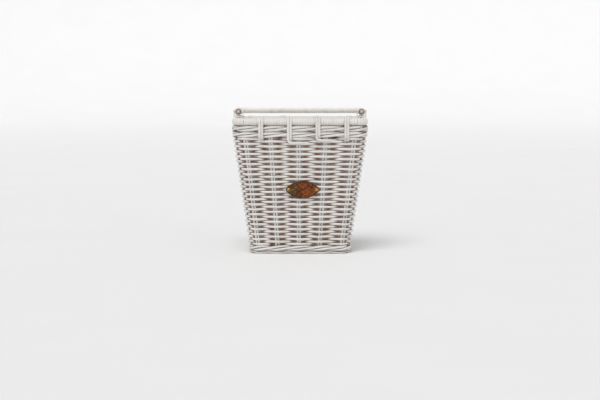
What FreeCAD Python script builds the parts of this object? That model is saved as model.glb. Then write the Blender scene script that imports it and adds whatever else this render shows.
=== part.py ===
"""Woven side basket for a bicycle's rear rack, with a folding carry handle and two rack hooks.

Millimetres, +Z up. X runs along the bicycle, -Y is the front wall that faces away from the wheel and
+Y the back wall that carries the hooks. The origin is the centre of the flat base.
The handle is drawn folded down, lying over the back half of the rim.
"""

import FreeCAD, Part
import math
import os

from FreeCAD import Vector

# Driving dimensions: the basket's outside, as half width (X), half depth (Y) and corner radius
BASE_HALF = (139.5, 66.0, 26.0)
SHOULDER_Z = 321.0
SHOULDER_HALF = (185.5, 85.0, 36.0)
RIM_Z = 365.5
RIM_HALF = (188.0, 86.0, 38.0)
WALL = 17.0

# Heights where one woven band gives way to the next
BORDER_TOP = 9.5
FOOT_TOP = 23.0
BASE_T = 12.0
WALE_TOP = 358.0

# Rods and strands
RIM_R = 11.0
RIM_CORE_R = 4.0
HOOP_Z = 5.5
HOOP_R = 2.5
STAKE_R = 2.75
STAKE_GAP = 5.8
STAKE_BOTTOM = 10.0
STAKE_TOP = 354.0
FRONT_STAKES = (-1.0, -0.54, -0.03, 0.47, 1.0)
BACK_STAKES = (-1.0, -0.5, 0.0, 0.5, 1.0)
END_STAKES = (-1.0, 0.0, 1.0)
BASE_STICK_R = 3.5
BASE_STICK_SPACING = 18.0
BASE_STICKS = 5
BASE_STICK_LENGTH = 236.0
LOOP_T = 5.0
LOOP_STRAND_W = 7.0
LOOP_PAIR_GAP = 0.2
LOOP_LOW_Z = 320.0
LOOP_TAIL_Z = 354.5
LOOP_XS_FRONT = (-107.0, -29.0, 49.0, 128.0)
LOOP_XS_BACK = (-140.0, -48.0, 48.0, 140.0)

# Carry handle, folded flat
PIVOT_X = 172.0
PIVOT_Z = 391.5
HANDLE_REACH = 88.0
HANDLE_R = 8.0
HANDLE_CORE_R = 4.5
HANDLE_BEND_R = 25.0

# Handle ends: a ball-ended socket on a cross pin
SOCKET_R = 10.5
SOCKET_LENGTH = 16.0
SOCKET_CUT = 8.6
CORE_START = 5.0
PLUG_R = 4.6
PLUG_DEPTH = 2.5
PLUG_CROWN = 1.2
PIN_R = 3.0
PIN_RUNNING_GAP = 0.05
PIN_HEAD_R = 5.0
PIN_HEAD_T = 1.5

# Pivot brackets on the rim's short sides
EAR_T = 2.5
EAR_GAP = 0.3
EAR_TOP_R = 6.5
EAR_FOOT = 20.0
PLATE_T = 3.0
PLATE_Y = 36.0
PLATE_CORNER_R = 2.5
STOP_Y = 10.0
STOP_LENGTH = 5.0
STOP_HALF_W = 6.0
STOP_GAP = 0.3
LEG_T = 2.5
LEG_W = 36.0
LEG_LOW_Z = 330.0
LEG_GAP = 0.6
LEG_CORNER_R = 6.0
BRACKET_RIVET_Z = 343.0
BRACKET_RIVET_Y = 12.0
BRACKET_RIVET_R = 2.0
BRACKET_HEAD_R = 4.5
BRACKET_HEAD_T = 2.0
BRACKET_WASHER_R = 7.0
BRACKET_WASHER_T = 1.0

# Rack hooks on the back wall, drawn on a wall plane that leans with the taper
HOOK_X = 104.0
HOOK_Z = 323.0
HOOK_W = 20.0
HOOK_T = 3.0
RAIL_R = 6.25
SLEEVE_T = 1.5
HOOK_LIP = 25.0
HOOK_LEG = 46.0
HOOK_CORNER_R = 6.0
HOOK_LIP_R = 1.4
SLEEVE_END_R = 2.5
PLATE_W = 30.0
PLATE_H = 46.0
WALL_PLATE_CORNER_R = 5.0
CLAMP_T = 2.0
CLAMP_DROP = 2.0
BOLT_DROPS = (14.0, 34.0)
BOLT_R = 2.5
BOLT_HOLE_R = 2.6
BOLT_HEAD_R = 5.0
BOLT_HEAD_T = 1.5
SOCKET_ACROSS = 3.0
SOCKET_DEPTH = 1.2
NUT_ACROSS = 8.0
NUT_T = 4.0

# Badge on the front wall
BADGE_X = 7.0
BADGE_Z = 179.5
BADGE_HALF_W = 46.0
BADGE_HALF_H = 24.0
BADGE_TIP_R = 7.5
BADGE_T = 3.0
RIVET_X = 39.0
RIVET_R = 1.75
RIVET_HEAD_R = 4.5
RIVET_HEAD_H = 1.8
RIVET_TAIL_R = 2.75
RIVET_TAIL_H = 1.0
BURR_R = 6.0
BURR_T = 1.2

X_AXIS = Vector(1, 0, 0)
Y_AXIS = Vector(0, 1, 0)
Z_AXIS = Vector(0, 0, 1)
LEAN = math.degrees(math.atan((SHOULDER_HALF[1] - BASE_HALF[1]) / SHOULDER_Z))
RIM_BOTTOM = RIM_Z - RIM_R
CUT_PAST = 1.0


def mix(a, b, t):
    return tuple(p + (q - p) * t for p, q in zip(a, b))


def outside(z):
    """Half width, half depth and corner radius of the basket's outside at height z."""
    if z <= SHOULDER_Z:
        return mix(BASE_HALF, SHOULDER_HALF, z / SHOULDER_Z)
    rise = min(1.0, (z - SHOULDER_Z) / (RIM_BOTTOM - SHOULDER_Z))
    return mix(SHOULDER_HALF, RIM_HALF, rise)


def shrunk(size, by):
    return tuple(v - by for v in size)


def outline(size, z):
    """A rounded rectangle as one wire of four lines and four arcs."""
    half_w, half_d, r = size
    corners = ((1, 1, 0), (-1, 1, 90), (-1, -1, 180), (1, -1, 270))
    edges = []
    last = None
    for sx, sy, start in corners:
        centre = Vector(sx * (half_w - r), sy * (half_d - r), z)
        points = []
        for turn in (0, 45, 90):
            a = math.radians(start + turn)
            points.append(centre + Vector(r * math.cos(a), r * math.sin(a), 0))
        if last is not None:
            edges.append(Part.LineSegment(last, points[0]).toShape())
        edges.append(Part.Arc(*points).toShape())
        last = points[2]
    first = edges[0].firstVertex().Point
    edges.append(Part.LineSegment(last, first).toShape())
    return Part.Wire(edges)


def frustum(z0, z1, inset):
    """The solid inside the outline shrunk by inset, between two heights: flat sides, ruled corners."""
    low, high = [outline(shrunk(outside(z), inset), z) for z in (z0, z1)]
    faces = [Part.Face(low), Part.Face(high)]
    for below, above in zip(low.OrderedEdges, high.OrderedEdges):
        if isinstance(below.Curve, Part.Line):
            a, b = [v.Point for v in below.Vertexes]
            c, d = [v.Point for v in above.Vertexes]
            faces.append(Part.Face(Part.makePolygon([a, b, d, c, a])))
        else:
            faces.append(Part.makeRuledSurface(below, above))
    shell = Part.makeShell(faces)
    shell.sewShape()
    solid = Part.makeSolid(shell)
    if solid.Volume < 0:
        solid.reverse()
    return solid


def band(z0, z1):
    """A closed ring of wall between two heights."""
    return frustum(z0, z1, 0).cut(frustum(z0, z1, WALL))


def swept_rod(path, radius):
    """A round rod along a flat wire of lines and arcs: cylinders joined by parts of a torus."""
    runs = []
    for edge in path.Edges:
        start = edge.valueAt(edge.FirstParameter)
        along = edge.tangentAt(edge.FirstParameter)
        disc = Part.Face(Part.Wire(Part.Circle(start, along, radius).toShape()))
        if isinstance(edge.Curve, Part.Line):
            runs.append(disc.extrude(along * edge.Length))
        else:
            arc = edge.Curve
            turn = math.degrees(edge.Length / arc.Radius)
            runs.append(disc.revolve(arc.Center, arc.Axis, turn))
    return runs[0].fuse(runs[1:])


def rod(start, end, radius):
    return Part.makeCylinder(radius, (end - start).Length, start, end - start)


def rod_x(radius, x0, x1, y, z):
    return Part.makeCylinder(radius, x1 - x0, Vector(x0, y, z), X_AXIS)


def block(x0, x1, y0, y1, z0, z1):
    return Part.makeBox(x1 - x0, y1 - y0, z1 - z0, Vector(x0, y0, z0))


def dome(radius, height, base, up):
    """A shallow spherical cap standing on base, pointing along up."""
    ball_r = (radius * radius + height * height) / (2 * height)
    centre = base - up * (ball_r - height)
    keep = Part.makeCylinder(radius + CUT_PAST, height, base, up)
    return Part.makeSphere(ball_r, centre).common(keep)


def eased(shape, radius, along, where=None):
    """Rounds the straight edges that run along a direction and, if where is given, pass its test."""
    chosen = []
    for edge in shape.Edges:
        if not isinstance(edge.Curve, Part.Line):
            continue
        if abs(edge.tangentAt(edge.FirstParameter).dot(along)) < 0.999:
            continue
        if where is None or where(edge.CenterOfMass):
            chosen.append(edge)
    return shape.makeFillet(radius, chosen)


def hexagon(across, centre, up, height):
    """A hexagonal prism standing on centre, along the Y axis; up is +1 or -1."""
    corner_r = across / math.sqrt(3)
    points = []
    for k in range(7):
        a = math.radians(60 * k)
        points.append(centre + Vector(corner_r * math.cos(a), 0, corner_r * math.sin(a)))
    return Part.Face(Part.makePolygon(points)).extrude(Y_AXIS * (up * height))


def mirrored(shape):
    return shape.mirror(Vector(0, 0, 0), X_AXIS)


def turned(shape, degrees):
    """A copy turned about the X axis through the origin."""
    copy = shape.copy()
    copy.rotate(Vector(0, 0, 0), X_AXIS, degrees)
    return copy


# ---- rim, base and stakes ------------------------------------------------------------------------

def rim_path():
    return outline(shrunk(RIM_HALF, RIM_R), RIM_Z)


def make_rim():
    core = swept_rod(rim_path(), RIM_CORE_R)
    full = swept_rod(rim_path(), RIM_R)
    return core, full.cut(core), full


def stake_places():
    """Each stake pair's wall, and its place along the wall as a share of half the flat length."""
    walls = {"front": FRONT_STAKES, "back": BACK_STAKES, "left": END_STAKES, "right": END_STAKES}
    return [(wall, share) for wall, shares in walls.items() for share in shares]


def stake_point(wall, share, z):
    """The middle of a stake pair at height z, in the middle of the wall's thickness."""
    half_w, half_d, r = outside(z)
    mid = WALL / 2
    if wall in ("front", "back"):
        side = -1 if wall == "front" else 1
        return Vector(share * (half_w - r), side * (half_d - mid), z)
    side = -1 if wall == "left" else 1
    return Vector(side * (half_w - mid), share * (half_d - r), z)


def make_stakes():
    """Each stake is a pair of rods, bent once at the shoulder by the wall's change of slope."""
    stakes = {"front": [], "back": [], "left": [], "right": []}
    for wall, share in stake_places():
        along = X_AXIS if wall in ("front", "back") else Y_AXIS
        for side in (-1, 1):
            offset = along * (side * STAKE_GAP / 2)
            low, bend, high = [
                stake_point(wall, share, z) + offset for z in (STAKE_BOTTOM, SHOULDER_Z, STAKE_TOP)
            ]
            lower = rod(low, bend, STAKE_R)
            knee = Part.makeSphere(STAKE_R, bend)
            upper = rod(bend, high, STAKE_R)
            stakes[wall].append(lower.fuse([knee, upper]))
    return stakes


def make_base():
    """Flat woven floor around straight sticks, and the hoop in the border that surrounds it."""
    sticks = []
    for k in range(BASE_STICKS):
        y = (k - (BASE_STICKS - 1) / 2) * BASE_STICK_SPACING
        sticks.append(rod_x(BASE_STICK_R, -BASE_STICK_LENGTH / 2, BASE_STICK_LENGTH / 2, y, BASE_T / 2))
    floor = frustum(0, BASE_T, WALL).cut(sticks)
    hoop = swept_rod(outline(shrunk(outside(HOOP_Z), WALL / 2), HOOP_Z), HOOP_R)
    return floor, sticks, hoop


def loop_profile(side):
    """Section of a strand that climbs the inside, passes over the rim and comes down the outside."""
    middle = side * (RIM_HALF[1] - RIM_R)
    outer = RIM_R + LOOP_T
    points = {
        "out_low": Vector(0, middle + side * outer, LOOP_LOW_Z),
        "out_rim": Vector(0, middle + side * outer, RIM_Z),
        "top": Vector(0, middle, RIM_Z + outer),
        "in_rim": Vector(0, middle - side * outer, RIM_Z),
        "in_low": Vector(0, middle - side * outer, LOOP_TAIL_Z),
        "core_in_low": Vector(0, middle - side * RIM_R, LOOP_TAIL_Z),
        "core_in": Vector(0, middle - side * RIM_R, RIM_Z),
        "core_top": Vector(0, middle, RIM_Z + RIM_R),
        "core_out": Vector(0, middle + side * RIM_R, RIM_Z),
        "core_out_low": Vector(0, middle + side * RIM_R, LOOP_LOW_Z),
    }
    edges = [
        Part.LineSegment(points["out_low"], points["out_rim"]),
        Part.Arc(points["out_rim"], points["top"], points["in_rim"]),
        Part.LineSegment(points["in_rim"], points["in_low"]),
        Part.LineSegment(points["in_low"], points["core_in_low"]),
        Part.LineSegment(points["core_in_low"], points["core_in"]),
        Part.Arc(points["core_in"], points["core_top"], points["core_out"]),
        Part.LineSegment(points["core_out"], points["core_out_low"]),
        Part.LineSegment(points["core_out_low"], points["out_low"]),
    ]
    return Part.Face(Part.Wire([e.toShape() for e in edges]))


def make_loops(side, places):
    strand = loop_profile(side).extrude(X_AXIS * LOOP_STRAND_W)
    loops = []
    for x in places:
        for left in (-LOOP_STRAND_W - LOOP_PAIR_GAP / 2, LOOP_PAIR_GAP / 2):
            loops.append(strand.translated(Vector(x + left, 0, 0)))
    return loops


# ---- handle and its pivots -----------------------------------------------------------------------

def handle_path(start_y):
    """A U lying flat, from one arm to the other, both arms starting at start_y."""
    bend = HANDLE_BEND_R
    near = HANDLE_REACH - bend
    slant = bend * math.sin(math.radians(45))
    right = [
        Vector(PIVOT_X, start_y, PIVOT_Z),
        Vector(PIVOT_X, near, PIVOT_Z),
        Vector(PIVOT_X - bend + slant, near + slant, PIVOT_Z),
        Vector(PIVOT_X - bend, HANDLE_REACH, PIVOT_Z),
    ]
    left = [Vector(-p.x, p.y, p.z) for p in right]
    edges = [
        Part.LineSegment(right[0], right[1]),
        Part.Arc(right[1], right[2], right[3]),
        Part.LineSegment(right[3], left[3]),
        Part.Arc(left[3], left[2], left[1]),
        Part.LineSegment(left[1], left[0]),
    ]
    return Part.Wire([e.toShape() for e in edges])


def socket_blank(centre):
    """A round bar with a ball nose that is cut flat, turned about the arm's axis."""
    face_r = math.sqrt(SOCKET_R ** 2 - SOCKET_CUT ** 2)
    slant = SOCKET_R * math.sin(math.radians(45))
    nose = centre + Vector(0, -SOCKET_CUT, 0)
    edge = centre + Vector(face_r, -SOCKET_CUT, 0)
    middle = centre + Vector(slant, -slant, 0)
    side = centre + Vector(SOCKET_R, 0, 0)
    far_side = centre + Vector(SOCKET_R, SOCKET_LENGTH, 0)
    far = centre + Vector(0, SOCKET_LENGTH, 0)
    edges = [
        Part.LineSegment(nose, edge),
        Part.Arc(edge, middle, side),
        Part.LineSegment(side, far_side),
        Part.LineSegment(far_side, far),
        Part.LineSegment(far, nose),
    ]
    half = Part.Face(Part.Wire([e.toShape() for e in edges]))
    return half.revolve(centre, Y_AXIS, 360)


def make_socket():
    """The right-hand handle end: a ball-nosed socket with a plug seated in its front."""
    centre = Vector(PIVOT_X, 0, PIVOT_Z)
    body = socket_blank(centre)
    seat = centre - Y_AXIS * SOCKET_CUT
    body = body.cut(Part.makeCylinder(PLUG_R, PLUG_DEPTH, seat, Y_AXIS))
    body = body.cut(Part.makeCylinder(HANDLE_CORE_R, SOCKET_LENGTH, centre + Y_AXIS * CORE_START, Y_AXIS))
    bore_r = PIN_R + PIN_RUNNING_GAP
    body = body.cut(rod_x(bore_r, PIVOT_X - 2 * SOCKET_R, PIVOT_X + 2 * SOCKET_R, 0, PIVOT_Z))
    plug = Part.makeCylinder(PLUG_R, PLUG_DEPTH, seat, Y_AXIS)
    plug = plug.fuse(dome(PLUG_R, PLUG_CROWN, seat, Y_AXIS * -1))
    return body, plug


def make_handle():
    core = swept_rod(handle_path(CORE_START), HANDLE_CORE_R)
    wrap = swept_rod(handle_path(SOCKET_LENGTH), HANDLE_R).cut(core)
    return core, wrap


def ear(x0):
    """One upright ear of the bracket, wide at its foot and round about the pin."""
    foot_z = RIM_Z + RIM_R
    foot = EAR_FOOT / 2
    top = Vector(x0, 0, PIVOT_Z + EAR_TOP_R)
    front = Vector(x0, -EAR_TOP_R, PIVOT_Z)
    back = Vector(x0, EAR_TOP_R, PIVOT_Z)
    low_front = Vector(x0, -foot, foot_z)
    low_back = Vector(x0, foot, foot_z)
    edges = [
        Part.LineSegment(low_front, front),
        Part.Arc(front, top, back),
        Part.LineSegment(back, low_back),
        Part.LineSegment(low_back, low_front),
    ]
    return Part.Face(Part.Wire([e.toShape() for e in edges])).extrude(X_AXIS * EAR_T)


def make_bracket():
    """The right-hand bracket, its two stops and its pin."""
    rim_top = RIM_Z + RIM_R
    plate_top = rim_top + PLATE_T
    ear_in = PIVOT_X - SOCKET_R - EAR_GAP - EAR_T
    ear_out = PIVOT_X + SOCKET_R + EAR_GAP
    wall_inside = RIM_HALF[0] - 2 * RIM_R - LEG_GAP
    plate = block(ear_in, ear_out + EAR_T, -PLATE_Y / 2, PLATE_Y / 2, rim_top, plate_top)
    plate = eased(plate, PLATE_CORNER_R, Z_AXIS)
    leg = block(wall_inside - LEG_T, wall_inside, -LEG_W / 2, LEG_W / 2, LEG_LOW_Z, rim_top)
    leg = eased(leg, LEG_CORNER_R, X_AXIS, lambda p: p.z < LEG_LOW_Z + CUT_PAST)
    body = plate.fuse([ear(ear_in), ear(ear_out), leg])
    body = body.cut(rod_x(PIN_R, ear_in - CUT_PAST, ear_out + EAR_T + CUT_PAST, 0, PIVOT_Z))
    stop_top = PIVOT_Z - SOCKET_R - STOP_GAP
    stops = []
    for y in (STOP_Y, -STOP_Y - STOP_LENGTH):
        near, far = PIVOT_X - STOP_HALF_W, PIVOT_X + STOP_HALF_W
        stops.append(block(near, far, y, y + STOP_LENGTH, plate_top, stop_top))
    pin = rod_x(PIN_R, ear_in, ear_out + EAR_T, 0, PIVOT_Z)
    inner = Vector(ear_in, 0, PIVOT_Z)
    outer = Vector(ear_out + EAR_T, 0, PIVOT_Z)
    pin = pin.fuse([
        dome(PIN_HEAD_R, PIN_HEAD_T, inner, X_AXIS * -1),
        dome(PIN_HEAD_R, PIN_HEAD_T, outer, X_AXIS),
    ])
    return body, stops, pin, wall_inside - LEG_T


def make_bracket_rivets(leg_x):
    """Rivets through the bracket's leg and the wall, with a washer outside."""
    wall_x = outside(BRACKET_RIVET_Z)[0]
    rivets = []
    washers = []
    for y in (-BRACKET_RIVET_Y, BRACKET_RIVET_Y):
        z = BRACKET_RIVET_Z
        out = wall_x + BRACKET_WASHER_T
        washer = rod_x(BRACKET_WASHER_R, wall_x, out, y, z)
        shank = rod_x(BRACKET_RIVET_R, leg_x, out, y, z)
        rivets.append(shank.fuse([
            dome(BRACKET_HEAD_R, BRACKET_HEAD_T, Vector(leg_x, y, z), X_AXIS * -1),
            dome(BRACKET_HEAD_R, BRACKET_HEAD_T, Vector(out, y, z), X_AXIS),
        ]))
        washers.append(washer.cut(shank))
    return rivets, washers


# ---- rack hooks, in the back wall's own plane ----------------------------------------------------

def hook_section(inner_r, outer_r, lip, leg):
    """A hook's side outline: leg against the wall, half turn over the rail, lip behind it."""
    centre_y = CLAMP_T + HOOK_T + SLEEVE_T + RAIL_R
    a = Vector(0, centre_y - outer_r, -leg)
    b = Vector(0, centre_y - outer_r, 0)
    c = Vector(0, centre_y, outer_r)
    d = Vector(0, centre_y + outer_r, 0)
    e = Vector(0, centre_y + outer_r, -lip)
    f = Vector(0, centre_y + inner_r, -lip)
    g = Vector(0, centre_y + inner_r, 0)
    h = Vector(0, centre_y, inner_r)
    i = Vector(0, centre_y - inner_r, 0)
    j = Vector(0, centre_y - inner_r, -leg)
    edges = [
        Part.Arc(b, c, d),
        Part.LineSegment(d, e),
        Part.LineSegment(e, f),
        Part.LineSegment(f, g),
        Part.Arc(g, h, i),
    ]
    if leg > 0:
        edges += [Part.LineSegment(i, j), Part.LineSegment(j, a), Part.LineSegment(a, b)]
    else:
        edges.append(Part.LineSegment(i, b))
    return Part.Face(Part.Wire([edge.toShape() for edge in edges]))


def hook_strip(inner_r, outer_r, lip, leg, width):
    strip = hook_section(inner_r, outer_r, lip, leg).extrude(X_AXIS * width)
    return strip.translated(Vector(-width / 2, 0, 0))


def bolt(z):
    head_y = CLAMP_T + HOOK_T
    end_y = -WALL - CLAMP_T - NUT_T
    start = Vector(0, end_y, z)
    shank = Part.makeCylinder(BOLT_R, head_y - end_y, start, Y_AXIS)
    head = dome(BOLT_HEAD_R, BOLT_HEAD_T, Vector(0, head_y, z), Y_AXIS)
    recess = hexagon(SOCKET_ACROSS, Vector(0, head_y + BOLT_HEAD_T, z), -1, SOCKET_DEPTH)
    return shank.fuse(head).cut(recess)


def nut(z):
    start = Vector(0, -WALL - CLAMP_T - NUT_T, z)
    body = hexagon(NUT_ACROSS, start, 1, NUT_T)
    return body.cut(Part.makeCylinder(BOLT_R, NUT_T, start, Y_AXIS))


def to_back_wall(shape, x):
    """Moves a shape drawn on the plane y = 0 onto the plane of the back wall below the shoulder."""
    wall_y = mix(BASE_HALF, SHOULDER_HALF, HOOK_Z / SHOULDER_Z)[1]
    placed = turned(shape, -LEAN)
    placed.translate(Vector(x, wall_y, HOOK_Z))
    return placed


def make_hook():
    """Steel hook, its vinyl sleeve, the plates that clamp the wall, and their bolts and nuts."""
    steel_in = RAIL_R + SLEEVE_T
    steel_out = steel_in + HOOK_T
    steel = hook_strip(steel_in, steel_out, HOOK_LIP, HOOK_LEG, HOOK_W)
    steel = eased(steel, HOOK_LIP_R, X_AXIS, lambda p: p.y > steel_in and p.z < 0)
    steel = eased(steel, HOOK_CORNER_R, Y_AXIS, lambda p: p.z < -HOOK_LEG + CUT_PAST)
    skin = hook_strip(RAIL_R, steel_out + SLEEVE_T, HOOK_LIP + SLEEVE_T, 0, HOOK_W + 2 * SLEEVE_T)
    skin = eased(skin, SLEEVE_END_R, X_AXIS, lambda p: p.z < -HOOK_LIP)
    sleeve = skin.cut(steel)
    holes = []
    bolts = []
    nuts = []
    for drop in BOLT_DROPS:
        start = Vector(0, -WALL - 2 * CLAMP_T, -drop)
        length = 2 * WALL + CLAMP_T
        holes.append(Part.makeCylinder(BOLT_HOLE_R, length, start, Y_AXIS))
        bolts.append(bolt(-drop))
        nuts.append(nut(-drop))
    steel = steel.cut(holes)
    top = -CLAMP_DROP
    low = top - PLATE_H
    clamp = block(-PLATE_W / 2, PLATE_W / 2, 0, CLAMP_T, low, top)
    clamp = eased(clamp, WALL_PLATE_CORNER_R, Y_AXIS).cut(holes)
    backing = clamp.translated(Y_AXIS * (-WALL - CLAMP_T))
    return steel, sleeve, clamp, backing, bolts, nuts, holes


# ---- badge ---------------------------------------------------------------------------------------

def badge_outline(y):
    """A pointed oval: two wide arcs that run into a small round at each tip."""
    tip_x = BADGE_HALF_W - BADGE_TIP_R
    rise = BADGE_HALF_H
    wide_r = (tip_x ** 2 + rise ** 2 - BADGE_TIP_R ** 2) / (2 * (rise - BADGE_TIP_R))
    drop = wide_r - rise
    reach = math.hypot(tip_x, drop)
    join_x = wide_r * tip_x / reach
    join_z = wide_r * drop / reach - drop

    def point(x, z):
        return Vector(x, y, z)

    edges = [
        Part.Arc(point(-join_x, join_z), point(0, rise), point(join_x, join_z)),
        Part.Arc(point(join_x, join_z), point(BADGE_HALF_W, 0), point(join_x, -join_z)),
        Part.Arc(point(join_x, -join_z), point(0, -rise), point(-join_x, -join_z)),
        Part.Arc(point(-join_x, -join_z), point(-BADGE_HALF_W, 0), point(-join_x, join_z)),
    ]
    return Part.Wire([e.toShape() for e in edges])


def to_front_wall(shape):
    placed = turned(shape, LEAN)
    placed.translate(Vector(BADGE_X, -outside(BADGE_Z)[1], BADGE_Z))
    return placed


def make_badge():
    """Badge, its two rivets and the burrs they are closed over inside the wall."""
    plate = Part.Face(badge_outline(-BADGE_T)).extrude(Y_AXIS * BADGE_T)
    rivets = []
    burrs = []
    shanks = []
    inside = WALL + BURR_T
    for x in (-RIVET_X, RIVET_X):
        shank = Part.makeCylinder(RIVET_R, BADGE_T + inside, Vector(x, -BADGE_T, 0), Y_AXIS)
        shanks.append(shank)
        rivets.append(shank.fuse([
            dome(RIVET_HEAD_R, RIVET_HEAD_H, Vector(x, -BADGE_T, 0), Y_AXIS * -1),
            dome(RIVET_TAIL_R, RIVET_TAIL_H, Vector(x, inside, 0), Y_AXIS),
        ]))
        burr = Part.makeCylinder(BURR_R, BURR_T, Vector(x, WALL, 0), Y_AXIS)
        burrs.append(burr.cut(shank))
    return plate.cut(shanks), rivets, burrs, shanks


# ---- the whole basket ----------------------------------------------------------------------------

def build():
    rim_core, rim_wrap, rim_full = make_rim()
    stakes = make_stakes()
    floor, sticks, hoop = make_base()

    steel, sleeve, clamp, backing, bolts, nuts, holes = make_hook()
    badge, rivets, burrs, shanks = make_badge()
    bracket, stops, pin, leg_x = make_bracket()
    bracket_rivets, bracket_washers = make_bracket_rivets(leg_x)
    socket, plug = make_socket()
    handle_core, handle_wrap = make_handle()

    def on_back(shape, side):
        return to_back_wall(shape, side * HOOK_X)

    hook_holes = [on_back(h, side) for h in holes for side in (-1, 1)]
    badge_holes = [to_front_wall(s) for s in shanks]
    riveted = bracket_rivets + bracket_washers
    rivet_holes = riveted + [mirrored(s) for s in riveted]
    bracket = bracket.cut(bracket_rivets)

    # The stakes run through the woven bands, which close round them, so no channel is cut for them.
    top_wale = band(SHOULDER_Z, WALE_TOP).cut([rim_full] + rivet_holes)
    wall_weave = band(FOOT_TOP, SHOULDER_Z).cut(hook_holes + badge_holes)
    foot_wale = band(BORDER_TOP, FOOT_TOP)
    foot_border = band(0, BORDER_TOP).cut(hoop)

    nodes = {
        "rim_core": rim_core,
        "rim_wrap": rim_wrap,
        "top_wale": top_wale,
        "wall_weave": wall_weave,
        "foot_wale": foot_wale,
        "foot_border": foot_border,
        "base_weave": floor,
        "base_sticks": sticks,
        "base_hoop": hoop,
        "rim_loops_front": make_loops(-1, LOOP_XS_FRONT),
        "rim_loops_back": make_loops(1, LOOP_XS_BACK),
        "handle_core": handle_core,
        "handle_wrap": handle_wrap,
        "handle_socket_right": socket,
        "handle_socket_left": mirrored(socket),
        "handle_plugs": [plug, mirrored(plug)],
        "pivot_bracket_right": bracket,
        "pivot_bracket_left": mirrored(bracket),
        "handle_stops": stops + [mirrored(s) for s in stops],
        "pivot_pin_right": pin,
        "pivot_pin_left": mirrored(pin),
        "bracket_rivets": bracket_rivets + [mirrored(s) for s in bracket_rivets],
        "bracket_washers": bracket_washers + [mirrored(s) for s in bracket_washers],
        "badge": to_front_wall(badge),
        "badge_rivets": [to_front_wall(s) for s in rivets],
        "badge_burrs": [to_front_wall(s) for s in burrs],
        "hook_bolts": [on_back(b, side) for b in bolts for side in (-1, 1)],
        "hook_nuts": [on_back(n, side) for n in nuts for side in (-1, 1)],
    }
    for wall, rods in stakes.items():
        nodes["stakes_" + wall] = rods
    for name, side in (("left", -1), ("right", 1)):
        nodes["hook_" + name] = on_back(steel, side)
        nodes["hook_sleeve_" + name] = on_back(sleeve, side)
        nodes["hook_clamp_plate_" + name] = on_back(clamp, side)
        nodes["hook_backing_plate_" + name] = on_back(backing, side)
    return nodes


def main():
    os.makedirs("parts", exist_ok=True)
    for name, shape in build().items():
        whole = Part.makeCompound(shape) if isinstance(shape, list) else shape
        whole.exportStep("parts/" + name + ".step")


main()
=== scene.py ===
"""Looks of a white wicker side basket for a bicycle's rear rack.

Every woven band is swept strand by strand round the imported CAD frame. Metres, +Z up, -Y is the front.
Round the basket a place is given as (stake, z, out): stake runs from 0 to 16 through the sixteen stake
pairs, starting at the front's left end, and out is how far outwards of the middle of the wall it lies.
"""

import math

import bpy
import numpy as np
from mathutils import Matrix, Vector


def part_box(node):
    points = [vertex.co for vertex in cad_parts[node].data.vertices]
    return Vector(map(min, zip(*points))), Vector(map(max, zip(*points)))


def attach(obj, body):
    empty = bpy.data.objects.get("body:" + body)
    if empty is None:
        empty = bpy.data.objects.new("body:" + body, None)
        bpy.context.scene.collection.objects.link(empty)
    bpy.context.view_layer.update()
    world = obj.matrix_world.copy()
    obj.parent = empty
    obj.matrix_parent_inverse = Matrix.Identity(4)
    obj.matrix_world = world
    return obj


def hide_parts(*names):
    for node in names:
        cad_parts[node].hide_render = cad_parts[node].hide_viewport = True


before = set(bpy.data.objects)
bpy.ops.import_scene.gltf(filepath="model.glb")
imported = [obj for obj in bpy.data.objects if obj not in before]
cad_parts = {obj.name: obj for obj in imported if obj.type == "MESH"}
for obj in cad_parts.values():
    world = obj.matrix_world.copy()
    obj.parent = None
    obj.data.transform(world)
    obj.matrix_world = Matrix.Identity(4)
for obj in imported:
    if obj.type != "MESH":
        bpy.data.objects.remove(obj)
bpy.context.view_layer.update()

MM = 0.001

# How finely strands are drawn: points round one, and along one between two stakes
SIDES = 10
STEPS_PER_STAKE = 16

# Stake pairs round the basket, anticlockwise from above, starting at the front's left end
STAKES = 16
WALL_STAKES = {"front": range(5), "right": range(5, 8), "back": range(8, 13), "left": range(13, 16)}

# Stake pairs along the front, as shares of half its flat length
FRONT_STAKES = (-1, -0.54, -0.03, 0.47, 1)

# The wall: where the CAD's outline changes slope, and the sizes that its boxes don't tell
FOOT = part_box("foot_border")[1]
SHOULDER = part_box("wall_weave")[1]
RIM_LOW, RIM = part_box("rim_wrap")
WALL = 17 * MM
CORNER_AT_FLOOR = 26 * MM
CORNER_AT_SHOULDER = 36 * MM
CORNER_AT_RIM = 38 * MM
RIM_R = (RIM.z - RIM_LOW.z) / 2
RIM_Z = RIM.z - RIM_R
FOOT_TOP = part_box("foot_wale")[1].z

# Plain weave: each row swings out and in by ROW_SWING, and ROW_ARCH nearer to 1 makes it run straighter
# from stake to stake
WEAVE_ROWS = 43
WEAVE_TOP = SHOULDER.z + 1.5 * MM
ROW_HALF_OUT = 3.1 * MM
ROW_HALF_HIGH = 3.55 * MM
ROW_SWING = 5.7 * MM
ROW_WANDER = 0.28 * MM
ROW_ARCH = 0.975

# Wales: each strand passes in front of several stakes, rising, and behind the next. WALE_HALF_SHARE is
# half its height as a share of the pitch
WALE_ROWS = 2
WALE_HALF_OUT = 3.1 * MM
WALE_HALF_SHARE = 0.47
WALE_SWING = 5.7 * MM
WALE_WANDER = 0.25 * MM
WALE_FRONTS = 2
FOOT_WALE_DROP = 2.2 * MM

# Stakes: two rods side by side, each this far from the middle of the pair
STAKE_R = 2.6 * MM
STAKE_ASIDE = 3.4 * MM
STAKE_OUT = 1.2 * MM
STAKE_STEPS = 70

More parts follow.
